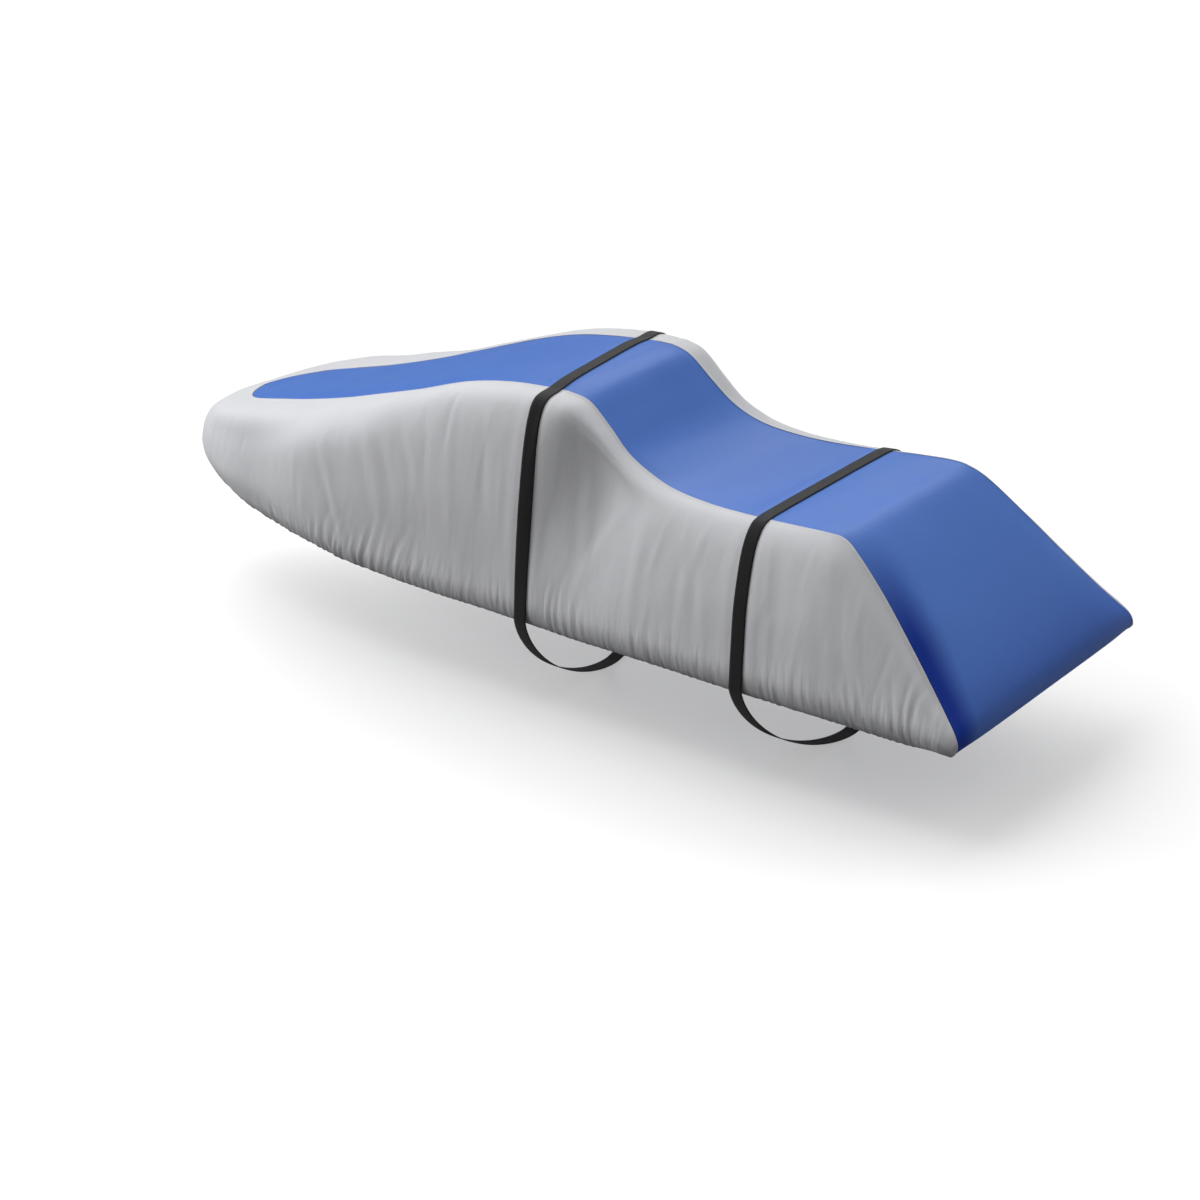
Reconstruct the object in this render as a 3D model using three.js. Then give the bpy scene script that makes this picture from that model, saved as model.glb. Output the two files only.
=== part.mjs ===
// Fitted cover for a personal watercraft, as it hangs over the craft: a grey side cloth that wraps both
// flanks and the bow, a blue top cloth let into it from the hood to the stern hem, and two webbing straps
// that run right round the cover and the hull. The craft itself is not part of it, so the cover is hollow.
//
// Millimetres. Hull frame: x aft from the bow, y to starboard, z up from the gunwale, where the hem lies.
// The group moves that frame so that the origin lies under the top cloth, where the handlebars bear on it.
import * as THREE from 'three';

// ---- driving dimensions -------------------------------------------------------------------------------
const CLOTH = 2.5; // thickness of both cloths
const SEAM_GAP = 0.7; // space between the two cloths along their seam
const BEARING = { x: 1760, z: 655.5 }; // top of the hump, where the handlebars lift the cloth
const LIP = { tuck: 15, drop: 6, sternShare: 0.2 }; // the elastic hem turns in and down past the gunwale
const BELLY_RISE = 0.22; // height of the belly line, as a share of the shoulder edge's height
const CROWN = { across: 0.74, down: 0.16 }; // where the top rounds over: share of the way out and down

const STRAP = { width: 45, thickness: 2, clearance: 1.9 };
const HELD_FLAT = { margin: 5, easing: 70 }; // cloth beside a strap: flat, then free to fold by degrees
// Each strap lies in a plane: x at the hem's height on the centre line, and its change per mm of y and z.
const STRAPS = [
  { name: 'front_strap', x: 1739, skew: -0.118, lean: -0.045 },
  { name: 'rear_strap', x: 2597, skew: -0.004, lean: -0.135 },
];
const HULL = { depth: 345, power: 1.6 }; // hull section below the hem: a superellipse
const HULL_STEPS = 12; // strap steps from the hem to the keel

const COLUMN_PITCH = 55; // mesh columns along the hem
const TIP_START = 0.3; // rib place where the top cloth's round tip begins
const STERN_STEPS = 2; // least mesh columns between two stern ribs
const TOP_ROWS = [-2, -1, -0.5, 0]; // section places, from the centre line out to the seam
const SIDE_ROWS = [0, 0.5, 1, 1.35, 1.7, 2.2, 2.8, 3.4, 4, 4.5, 5, 6]; // and from the seam down to the lip

const FINISH = {
  side: { color: '#c3c4c7', roughness: 0.8, metalness: 0 },
  top: { color: '#3f68b8', roughness: 0.8, metalness: 0 },
  strap: { color: '#262628', roughness: 0.7, metalness: 0 },
};

// ---- the form: half sections from the bow to the stern -------------------------------------------------
// Bow ribs fan out round the nose. Each row: seam x y z, edge x y z, wall x y z, belly x y z, hem x y z.
const BOW = { flankOut: 7, rise: 0.055 }; // rise of the centre line, as a share of the seam's y
const BOW_RIBS = [
  [312, 0, 287, 225, 0, 257, 126, 0, 197, 97, 0, 105, 108, 0, -3],
  [322, 55, 288, 240, 85, 262, 141, 88, 198, 112, 85, 105, 122, 70, -4],
  [348, 108, 292, 275, 165, 274, 190, 166, 204, 160, 163, 105, 175, 135, -5],
  [390, 150, 300, 330, 248, 286, 265, 247, 212, 236, 241, 106, 262, 198, -6],
  [450, 177, 315, 410, 316, 304, 360, 324, 224, 336, 316, 108, 357, 250, -6],
  [560, 193, 341, 530, 364, 330, 500, 388, 246, 482, 390, 110, 500, 324, -5],
  [700, 211, 375, 685, 390, 360, 670, 427, 282, 660, 438, 115, 668, 390, -3],
];

// Body ribs are square to the hull. Each row:
// x, centre z, seam y, seam z, edge y, edge z, wall y, wall z, flank out, belly y, hem y.
const BODY_RIBS = [
  [880, 441, 240, 427, 410, 410, 480, 354, 16, 490, 459],
  [1060, 500, 272, 488, 410, 473, 486, 408, 14, 514, 501],
  [1240, 560, 300, 549, 402, 538, 470, 472, 18, 519, 519],
  [1410, 613, 279, 603, 389, 594, 448, 528, 20, 520, 529],
  [1570, 641, 270, 633, 378, 625, 428, 570, 20, 522, 534],
  [1720, 654, 272, 647, 367, 638, 411, 586, 17, 522, 538],
  [BEARING.x, BEARING.z, 272, 648, 365, 638, 408, 587, 14, 522, 539],
  [1800, 654, 271, 647, 362, 636, 404, 586, 8, 520, 541],
  [1865, 637, 265, 629, 354, 616, 366, 558, -4, 516, 543],
  [1940, 572, 268, 566, 347, 556, 336, 500, 4, 512, 546],
  [2015, 506, 277, 502, 351, 492, 352, 436, 2, 516, 549],
  [2100, 465, 286, 461, 357, 450, 373, 400, 6, 526, 552],
  [2200, 441, 303, 438, 363, 429, 408, 384, 8, 533, 555],
  [2340, 433, 320, 430, 368, 422, 419, 377, 14, 538, 559],
  [2500, 439, 337, 436, 373, 428, 423, 383, 14, 540, 564],
  [2650, 451, 350, 447, 377, 439, 426, 395, 15, 543, 568],
  [2760, 457, 354, 453, 374, 445, 424, 404, 17, 547, 571],
  [2820, 457, 353, 447, 371, 438, 424, 397, 18, 550, 572],
  [2880, 432, 370, 412, 382, 404, 431, 360, 16, 553, 573],
  [2980, 361, 398, 327, 409, 319, 456, 284, 13, 559, 575],
  [3095, 264, 437, 218, 448, 210, 490, 184, 8, 566, 577],
  [3195, 168, 476, 123, 487, 116, 518, 98, 4, 572, 578],
];

// Stern ribs roll under and round the corner. Each row: centre x z, then the points of a bow rib.
const STERN = { flankOut: 1 };
const STERN_RIBS = [
  [3263, 104, 3257, 504, 67, 3257, 516, 63, 3258, 535, 51, 3258, 566, 20, 3258, 575, -4],
  [3303, 58, 3293, 522, 33, 3293, 529, 29, 3292, 540, 21, 3290, 558, 2, 3288, 563, -12],
  [3315, 17, 3306, 528, 4, 3306, 531, 1, 3305, 536, -5, 3303, 544, -14, 3301, 548, -19],
  [3309, -12, 3297, 525, -20, 3297, 527, -21, 3297, 529, -22, 3296, 531, -23, 3295, 533, -24],
];

// ---- folds of the flanks ------------------------------------------------------------------------------
// Heights run from 0 at the hem to 1 at the shoulder edge; here they are at each whole section place.
const HEIGHTS = [1.05, 1, 0.85, 0.53, 0.22, 0];

// Each row: x and height at the upper end, x and height at the lower end, relief (a trough is negative)
// and half width.
const PORT_FOLDS = [
  [740, 0.62, 980, 0.28, -5, 44],
  [985, 0.8, 1100, 0.1, 7, 40],
  [1100, 0.85, 1195, 0.36, -7, 38],
  [1260, 0.86, 1345, 0.5, -6, 40],
  [1370, 0.88, 1405, 0.6, -4, 36],
  [1590, 0.8, 1650, 0.45, -5, 44],
  [1890, 0.84, 1960, 0.32, -7, 42],
  [2115, 0.92, 1995, 0.15, 7, 42],
  [2155, 0.76, 2200, 0.14, 6, 38],
  [2390, 0.66, 2425, 0.3, -5, 42],
  [3040, 0.5, 3110, 0.06, -6, 36],
  [3115, 0.6, 3180, 0.06, 5, 34],
];
const STARBOARD_FOLDS = [
  [700, 0.7, 900, 0.3, -5, 44],
  [930, 0.8, 1010, 0.2, -7, 40],
  [1060, 0.86, 1130, 0.42, 6, 38],
  [1180, 0.84, 1290, 0.32, -7, 42],
  [1330, 0.88, 1380, 0.56, 5, 36],
  [1520, 0.82, 1560, 0.34, -6, 44],
  [1910, 0.86, 1940, 0.28, -6, 42],
  [2060, 0.9, 2010, 0.2, 7, 42],
  [2240, 0.7, 2270, 0.18, -6, 40],
  [2430, 0.74, 2400, 0.3, 5, 40],
  [2960, 0.5, 3040, 0.06, -5, 38],
  [3090, 0.6, 3160, 0.06, 5, 34],
];

// Gathers that the hem elastic draws in: spacing along the hem, depth at the hem and reach up the flank.
const GATHERS = { pitch: 165, depth: 6, reach: 0.45, portPhase: 0.4, starboardPhase: 2.1 };
const FOLDS_END = { from: 3200, to: 3280 }; // the folds die out before the stern corner

// ---- the smooth form ----------------------------------------------------------------------------------
const { lerp, smoothstep } = THREE.MathUtils;
const vector = (x, y, z) => new THREE.Vector3(x, y, z);
const mirrored = (p) => vector(p.x, -p.y, p.z);

// The named places of a rib, from the centre line to the hem.
function makeRib(centre, [seam, edge, wall, belly, hem], flankOut) {
  const out = hem.clone().sub(seam).setZ(0).normalize();
  const flank = wall.clone().lerp(belly, 0.5).addScaledVector(out, flankOut);
  const crown = centre.clone().lerp(seam, CROWN.down).setY(CROWN.across * seam.y);
  return [centre, crown, seam, edge, wall, flank, belly, hem];
}

const threes = (row, start) => [0, 1, 2, 3, 4].map((k) => vector(...row.slice(start + 3 * k, start + 3 * k + 3)));

const RIBS = [
  ...BOW_RIBS.map((row) => {
    const points = threes(row, 0);
    const seam = points[0];
    return makeRib(vector(seam.x, 0, seam.z + BOW.rise * seam.y), points, BOW.flankOut);
  }),
  ...BODY_RIBS.map(([x, centreZ, seamY, seamZ, edgeY, edgeZ, wallY, wallZ, flankOut, bellyY, hemY]) => {
    const section = [[seamY, seamZ], [edgeY, edgeZ], [wallY, wallZ], [bellyY, BELLY_RISE * edgeZ], [hemY, 0]];
    return makeRib(vector(x, 0, centreZ), section.map(([y, z]) => vector(x, y, z)), flankOut);
  }),
  ...STERN_RIBS.map((row) => makeRib(vector(row[0], 0, row[1]), threes(row, 2), STERN.flankOut)),
];
const LAST = RIBS.length - 1;

// One line along the hull through each named place; it starts at the second rib's mirror image, so that
// it crosses the bow smoothly.
const LINES = RIBS[0].map((_, k) => {
  const points = [mirrored(RIBS[1][k]), ...RIBS.map((rib) => rib[k])];
  return new THREE.CatmullRomCurve3(points, false, 'catmullrom', 0.5);
});

// The section at rib place u; section places are -2 centre, -1 crown, 0 seam, 1 edge, 2 wall, 3 flank,
// 4 belly, 5 hem and 6 lip.
function sectionAt(u) {
  const rib = LINES.map((line) => line.getPoint((u + 1) / RIBS.length));
  return new THREE.CatmullRomCurve3([mirrored(rib[1]), ...rib], false, 'centripetal');
}

// A point of the smooth form; u is negative on the port side.
function formPoint(u, v) {
  const section = sectionAt(Math.abs(u));
  const p = section.getPoint((Math.min(v, 5) + 3) / 8);
  if (v > 5) {
    const inward = section.points[3].clone().sub(p).setZ(0).normalize();
    const share = (v - 5) * lerp(1, LIP.sternShare, smoothstep(Math.abs(u), LAST - 3, LAST - 1));
    p.addScaledVector(inward, share * LIP.tuck);
    p.z -= share * LIP.drop;
  }
  return u < 0 ? mirrored(p) : p;
}

// Unit direction of a curve at t, the mean of its two sides, within its ends.
function direction(curve, t, low, high) {
  const step = 0.01;
  const here = curve(t);
  const sum = vector(0, 0, 0);
  if (t - step >= low) sum.add(here.clone().sub(curve(t - step)).normalize());
  if (t + step <= high) sum.add(curve(t + step).sub(here).normalize());
  return sum.normalize();
}
const downSection = (u, v) => direction((t) => formPoint(u, t), v, -3, 6);
const alongHull = (u, v) => direction((t) => formPoint(t, v), u, -LAST, LAST);
const formNormal = (u, v) => alongHull(u, v).cross(downSection(u, v)).normalize();

// Length of the hem from the bow to rib place u.
const RUN_STEPS = 16;
const HEM_LENGTHS = LINES.at(-1).getLengths(RUN_STEPS * RIBS.length);
function hemRun(u) {
  const place = (u + 1) * RUN_STEPS;
  const low = Math.min(Math.floor(place), HEM_LENGTHS.length - 2);
  return lerp(HEM_LENGTHS[low], HEM_LENGTHS[low + 1], place - low) - HEM_LENGTHS[RUN_STEPS];
}

// Rib place at which the square body sections reach x.
function placeAtX(x) {
  let [low, high] = [BOW_RIBS.length, BOW_RIBS.length + BODY_RIBS.length - 1];
  for (let i = 0; i < 40; i += 1) {
    const middle = (low + high) / 2;
    if (LINES[0].getPoint((middle + 1) / RIBS.length).x < x) low = middle;
    else high = middle;
  }
  return (low + high) / 2;
}

// ---- relief of the cloth ------------------------------------------------------------------------------
function longFolds(folds, x, height) {
  let relief = 0;
  for (const [upperX, upperHeight, lowerX, lowerHeight, depth, halfWidth] of folds) {
    const along = (upperHeight - height) / (upperHeight - lowerHeight);
    const off = (x - lerp(upperX, lowerX, along)) / halfWidth;
    const ends = smoothstep(along, -0.25, 0.25) * (1 - smoothstep(along, 0.75, 1.25));
    relief += depth * Math.exp(-off * off) * ends;
  }
  return relief;
}

function gathers(run, height, phase) {
  const wave = 1 + Math.cos(2 * Math.PI * run / GATHERS.pitch + phase + 1.3 * Math.sin(run / 230 + phase));
  const strength = 0.65 + 0.35 * Math.sin(run / 310 + 2 * phase);
  const fade = Math.max(0, 1 - height / GATHERS.reach) ** 1.5;
  return -GATHERS.depth / 2 * wave * strength * fade;
}

const strapX = (strap, { y, z }) => strap.x + strap.skew * y + strap.lean * z;

// Straps and the stern corner hold the cloth flat.
function freedom(p) {
  let free = 1 - smoothstep(p.x, FOLDS_END.from, FOLDS_END.to);
  for (const strap of STRAPS) {
    const off = Math.abs(p.x - strapX(strap, p)) - STRAP.width / 2 - HELD_FLAT.margin;
    free *= smoothstep(off, 0, HELD_FLAT.easing);
  }
  return free;
}

function relief(u, v) {
  if (v <= 0) return 0;
  const place = Math.min(Math.floor(v), 4);
  const height = lerp(HEIGHTS[place], HEIGHTS[place + 1], Math.min(v - place, 1));
  const p = formPoint(u, v);
  const port = u < 0;
  const long = longFolds(port ? PORT_FOLDS : STARBOARD_FOLDS, p.x, height);
  const phase = port ? GATHERS.portPhase : GATHERS.starboardPhase;
  const atBow = smoothstep(Math.abs(u), 0, 2);
  return (long + atBow * gathers(hemRun(Math.abs(u)), height, phase)) * freedom(p) * smoothstep(v, 0, 1);
}

// ---- solids -------------------------------------------------------------------------------------------
// Skins rings of equal length into one closed body: a loop of rings closes on itself, and otherwise each
// end ring, whose second half runs back beside its first, is closed across.
function skin(rings, isLoop) {
  const size = rings[0].length;
  const index = (i, k) => (i % rings.length) * size + (k % size);
  const triangles = [];
  const quad = (a, b, c, d) => triangles.push([a, b, c], [a, c, d]);
  const spans = isLoop ? rings.length : rings.length - 1;
  for (let i = 0; i < spans; i += 1) {
    for (let k = 0; k < size; k += 1) {
      const corners = [index(i, k), index(i, k + 1), index(i + 1, k + 1), index(i + 1, k)];
      if (k >= size / 2) corners.push(corners.shift()); // both faces of a cloth fold along the same diagonal
      quad(...corners);
    }
  }
  if (!isLoop) {
    const last = rings.length - 1;
    for (let k = 0; k < size / 2 - 1; k += 1) {
      quad(index(0, k), index(0, size - 1 - k), index(0, size - 2 - k), index(0, k + 1));
      quad(index(last, k), index(last, k + 1), index(last, size - 2 - k), index(last, size - 1 - k));
    }
  }
  const points = rings.flat();
  const volume = triangles.reduce(
    (sum, [a, b, c]) => sum + points[a].dot(points[b].clone().cross(points[c])), 0);
  if (volume < 0) triangles.forEach((triangle) => triangle.reverse());
  const geometry = new THREE.BufferGeometry().setFromPoints(points);
  geometry.setIndex(triangles.flat());
  geometry.computeVertexNormals();
  return geometry;
}

// Outer and inner point of a cloth; at the seam, each cloth draws back by half the gap.
function clothPair(u, v, seamShift) {
  const normal = formNormal(u, v);
  const outer = formPoint(u, v).addScaledVector(normal, relief(u, v));
  if (v === 0) outer.addScaledVector(downSection(u, v), seamShift * SEAM_GAP / 2);
  return [outer, outer.clone().addScaledVector(normal, -CLOTH)];
}

function clothRing(places, seamShift) {
  const pairs = places.map(([u, v]) => clothPair(u, v, seamShift));
  return [...pairs.map((pair) => pair[0]), ...pairs.map((pair) => pair[1]).reverse()];
}

function columnPlaces() {
  const places = [0, TIP_START];
  for (let rib = 0; rib < LAST; rib += 1) {
    const least = rib >= LAST - STERN_RIBS.length ? STERN_STEPS : 1;
    const steps = Math.max(least, Math.round((hemRun(rib + 1) - hemRun(rib)) / COLUMN_PITCH));
    for (let k = 1; k <= steps; k += 1) places.push(rib + k / steps);
  }
  return places;
}

// The grey cloth runs from the port stern corner round the bow to the starboard one.
function sideCloth(columns) {
  const port = columns.slice(1).reverse().map((u) => -u);
  return skin([...port, ...columns].map((u) => clothRing(SIDE_ROWS.map((v) => [u, v]), 1)), false);
}

// The blue cloth runs from its round tip on the hood to the stern hem.
function topCloth(columns) {
  return skin(columns.slice(1).map((u) => {
    const port = TOP_ROWS.slice(1).reverse().map((v) => [-u, v]);
    return clothRing([...port, ...TOP_ROWS.map((v) => [u, v])], -1);
  }), false);
}

// One edge of a strap where it lies on the cloth, at section place v: a point and the way out from it.
function edgeOnCloth(strap, side, shift, v) {
  let u = side * placeAtX(strap.x + shift);
  for (let i = 0; i < 6; i += 1) u = side * placeAtX(strapX(strap, formPoint(u, v)) + shift);
  const normal = v < 5 ? formNormal(u, v) : vector(0, side, 0);
  return { point: formPoint(u, v), normal };
}

// The same edge round the hull: the angle is 0 at the hem and a right angle at the keel.
function edgeOnHull(strap, side, shift, angle) {
  const reach = Math.abs(edgeOnCloth(strap, side, shift, 5).point.y);
  const [c, s] = [Math.cos(angle), Math.sin(angle)];
  const y = side * reach * c ** (2 / HULL.power);
  const z = -HULL.depth * s ** (2 / HULL.power);
  const turn = 2 - 2 / HULL.power;
  const normal = vector(0, side * c ** turn / reach, -(s ** turn) / HULL.depth).normalize();
  return { point: vector(strapX(strap, { y, z }) + shift, y, z), normal };
}

function strapLoop(strap) {
  const ring = (edge) => {
    const [front, rear] = [-STRAP.width / 2, STRAP.width / 2].map(edge);
    const lifted = ({ point, normal }, lift) => point.clone().addScaledVector(normal, lift);
    const [low, high] = [STRAP.clearance, STRAP.clearance + STRAP.thickness];
    return [lifted(front, low), lifted(front, high), lifted(rear, high), lifted(rear, low)];
  };
  const clothPlaces = [...TOP_ROWS, ...SIDE_ROWS.slice(1, -1)];
  const hullAngles = Array.from({ length: HULL_STEPS }, (_, i) => Math.PI / 2 * (i + 1) / HULL_STEPS);
  const halfLoop = (side) => [
    ...clothPlaces.map((v) => ring((shift) => edgeOnCloth(strap, side, shift, v))),
    ...hullAngles.map((angle) => ring((shift) => edgeOnHull(strap, side, shift, angle))),
  ];
  return skin([...halfLoop(1), ...halfLoop(-1).slice(1, -1).reverse()], true);
}

// ---- the cover ----------------------------------------------------------------------------------------
const cover = new THREE.Group();
cover.position.set(-BEARING.x, 0, CLOTH - BEARING.z);

function addPiece(name, geometry, finish) {
  const piece = new THREE.Mesh(geometry, new THREE.MeshStandardMaterial(finish));
  piece.name = name;
  cover.add(piece);
}

const columns = columnPlaces();
addPiece('side_cloth', sideCloth(columns), FINISH.side);
addPiece('top_cloth', topCloth(columns), FINISH.top);
for (const strap of STRAPS) addPiece(strap.name, strapLoop(strap), FINISH.strap);

export default cover;
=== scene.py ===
# Personal watercraft cover: grey side cloth, blue top cloth and two webbing straps, draped as over the
# craft. Metres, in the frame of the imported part: the origin is under the top of the handlebar hump, +X
# runs aft, +Y to starboard and +Z up. The tables of the form are in millimetres in the hull frame, which
# starts at the bow, at the height of the hem.
import math
import random

import bmesh
import bpy
import numpy as np
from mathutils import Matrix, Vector


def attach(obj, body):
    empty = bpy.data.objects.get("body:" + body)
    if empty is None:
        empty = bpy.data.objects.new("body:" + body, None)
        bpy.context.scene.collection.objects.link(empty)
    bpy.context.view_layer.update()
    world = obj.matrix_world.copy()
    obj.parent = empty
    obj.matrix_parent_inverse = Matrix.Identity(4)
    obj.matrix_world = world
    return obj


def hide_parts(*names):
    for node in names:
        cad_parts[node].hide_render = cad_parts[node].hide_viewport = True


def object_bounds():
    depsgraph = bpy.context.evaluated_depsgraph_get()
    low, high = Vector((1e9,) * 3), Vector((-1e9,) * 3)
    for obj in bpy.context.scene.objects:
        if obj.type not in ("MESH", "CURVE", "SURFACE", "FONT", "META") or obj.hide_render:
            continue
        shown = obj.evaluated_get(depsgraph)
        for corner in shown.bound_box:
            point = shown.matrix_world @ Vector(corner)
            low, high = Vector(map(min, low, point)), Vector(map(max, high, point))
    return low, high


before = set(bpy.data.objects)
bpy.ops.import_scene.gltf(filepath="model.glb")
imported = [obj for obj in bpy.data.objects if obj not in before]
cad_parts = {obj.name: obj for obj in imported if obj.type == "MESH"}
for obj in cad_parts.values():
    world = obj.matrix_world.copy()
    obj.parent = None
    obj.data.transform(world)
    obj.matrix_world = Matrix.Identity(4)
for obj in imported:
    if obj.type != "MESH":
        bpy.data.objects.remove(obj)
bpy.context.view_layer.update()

# ---- sizes ---------------------------------------------------------------------------------------------
MM = 0.001
CLOTH = 1.6 * MM
BEARING = (1760.0, 655.5)  # hull x and z of the hump's top, over the origin
CAD_CLOTH = 2.5  # thickness of the solid cloth, which the origin lies under
ORIGIN = np.array([BEARING[0], 0.0, BEARING[1] - CAD_CLOTH]) * MM

HEM_TUCK, HEM_TUCK_HEIGHT = 19.0, 50.0  # the cloth curves in by this much, over this height above the hem
HEM_SAG = 12.0  # how far it hangs down there
HEM_RADIUS = 9.0  # radius at which its end rolls under
HEM_TURN = 2.2  # angle of that roll, in radians
HEM_ROLL_ROWS = 5
STERN_END = (3225.0, 3330.0)  # run along the hem over which folds and hem roll die out at the stern
STERN_ROLL = 0.3  # share of the hem roll's radius left at the stern corner
SEAM_LAP = 2.1  # how far the side cloth's edge lies over the top cloth
LAP_FADE = (3.0, 11.0)  # distance from the seam over which that dies out
STERN_LAP = 0.5  # share of the lap at the stern corner
SEAM_ALLOWANCE = 3.5  # how far the top cloth runs on under the side cloth
LAP_CLEARANCE = 0.4
STRAP_PUFF, TOP_PUFF = 1.8, 1.08  # how far the side cloth and the top cloth swell beside a strap
PUFF_PLACE, TOP_PUFF_PLACE, PUFF_WIDTH = 22.0, 20.0, 16.0
STRAP_HOLD = 60.0  # distance from a strap over which it keeps the cloth smooth
SEAM_HOLD = (15.0, 110.0)  # distance from the seam over which folds set in
TOP_EDGE_HOLD = 0.3  # share of the top cloth's half width that its seam keeps smooth
STRAP_WIDTH = 45.0
STRAP_THICKNESS = 1.9
STRAP_CLEARANCE = 0.8
STRAP_EDGE_ROUNDING, STRAP_EDGE_POWER = 0.35, 8
# name: hull x at the hem's height on the centre line, and its change per mm of y and z
STRAPS = {"front_strap": (1739.0, -0.118, -0.045), "rear_strap": (2597.0, -0.004, -0.135)}
STRAP_LENGTHS = {"front_strap": 3.41, "rear_strap": 3.09}  # metres
HULL_DEPTH = 345.0
HULL_POWER = 1.6  # of the super-ellipse that a strap follows round the hull

# ---- meshes and finishes -------------------------------------------------------------------------------
COLUMN_PITCH = 7.0
SIDE_ROWS = 31
SEAM_ROWS = np.array([0.0, 1.2, 3.0, 5.0, 8.0, 12.0, 18.0])
HEM_ROWS = np.array([62.0, 50.0, 39.0, 29.0, 20.0, 12.0, 5.0, 0.0])  # rise of the rows next to the hem
ROWS_ROOM = 200.0  # a section shorter than this has its seam and hem rows drawn together
TIP_PLACES = np.array([0.04, 0.08, 0.12, 0.16, 0.2, 0.25, 0.3, 0.35, 0.4, 0.46, 0.52])
TOP_COLUMN_PITCH = 9.0
TOP_HALF_ROWS = 32
STRAP_ROWS = 8
STRAP_CLOTH_COLUMNS, STRAP_HULL_COLUMNS = 130, 50

GREY = (0.54, 0.545, 0.565)
BLUE = (0.062, 0.158, 0.495, 1)
# painted shade: the dark blue of the top cloth beside its port seam on the rear slope and towards the
# stern hem
SHADE_BLUE = (0.001, 0.022, 0.24, 1)
BLACK = (0.011, 0.011, 0.012)
FLOOR = (0.62, 0.62, 0.62, 1)
FLOOR_GLOW = (0.38, 0.38, 0.38, 1)  # seen only by the camera, so that the floor stays pale in the shadow
FLOOR_BOUNCE = (0.25, 0.25, 0.25, 1)  # a white floor that throws little light back up
# metres, in the materials
WEAVE_PITCH = 0.0016
CRINKLE_HEIGHT, THREAD_HEIGHT, WEBBING_HEIGHT = 0.0022, 0.00025, 0.0005
RIB_PITCH, PICK_PITCH = 0.0028, 0.0022  # of the webbing, across and along
SELVEDGE = (0.0190, 0.0205)  # distance from the webbing's middle over which its edge begins
SEAM_SHADE_WIDTH = (0.16, 0.03)  # painted shade of the top cloth beside the port seam: distance from that seam over which it sets in
SEAM_SHADE_START = (1.05, 1.36)  # and x, on the rear slope
STERN_HEM_SHADE = (1.38, 1.55)  # x over which the same painted shade sets in towards the stern hem
SEAM_SHADE_SHARE, STERN_HEM_SHADE_SHARE = 0.98, 0.32
HEM_SHADE, HEM_SHADE_RISE = 0.34, (0.075, -0.005)  # painted shade: how much darker the side cloth is over the hem's turn
PLEAT_RISE = 0.15  # how high the small pleats of the hem reach
PLEAT_LEAN, PLEAT_LEAN_RUN = (0.32, -0.18), (1.4, 1.95)  # their lean, fore and aft of this run
FLOOR_SIZE = 60.0
# name: direction it comes from, strength, angular size in degrees, and whether it lights or only shines
SUNS = {
    "key": ((-0.66, 0.09, 0.74), 3.05, 90.0, True),
    "side": ((0.42, 0.76, 0.50), 1.7, 60.0, True),
    "shine": ((-0.38, 0.72, 0.58), 0.4, 26.0, False),
}
# soft panels on the port side. name: place, what it faces, size and power
PANELS = {
    "bow_panel": ((-2.6, -2.2, 0.7), (-1.2, -0.4, -0.4), (1.2, 0.8), 32.0),
    "stern_panel": ((0.9, -1.9, 2.0), (0.9, -0.45, -0.3), (1.2, 0.8), 13.0),
    "high_panel": ((-0.6, -1.9, 2.4), (-0.3, -0.4, -0.2), (3.2, 1.0), 10.0),
}
AMBIENT = 0.04

# ---- the form: half sections from the bow to the stern -----------------------------------------------
BELLY_RISE = 0.22
CROWN_ACROSS, CROWN_DOWN = 0.74, 0.16
BOW_RISE = 0.055
BOW_FLANK_OUT, STERN_FLANK_OUT = 7.0, 1.0

# seam x y z, edge x y z, wall x y z, belly x y z, hem x y z
BOW_RIBS = [
    [312, 0, 287, 225, 0, 257, 126, 0, 197, 97, 0, 105, 108, 0, -3],
    [322, 55, 288, 240, 85, 262, 141, 88, 198, 112, 85, 105, 122, 70, -4],
    [348, 108, 292, 275, 165, 274, 190, 166, 204, 160, 163, 105, 175, 135, -5],
    [390, 150, 300, 330, 248, 286, 265, 247, 212, 236, 241, 106, 262, 198, -6],
    [450, 177, 315, 410, 316, 304, 360, 324, 224, 336, 316, 108, 357, 250, -6],
    [560, 193, 341, 530, 364, 330, 500, 388, 246, 482, 390, 110, 500, 324, -5],
    [700, 211, 375, 685, 390, 360, 670, 427, 282, 660, 438, 115, 668, 390, -3],
]
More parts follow.
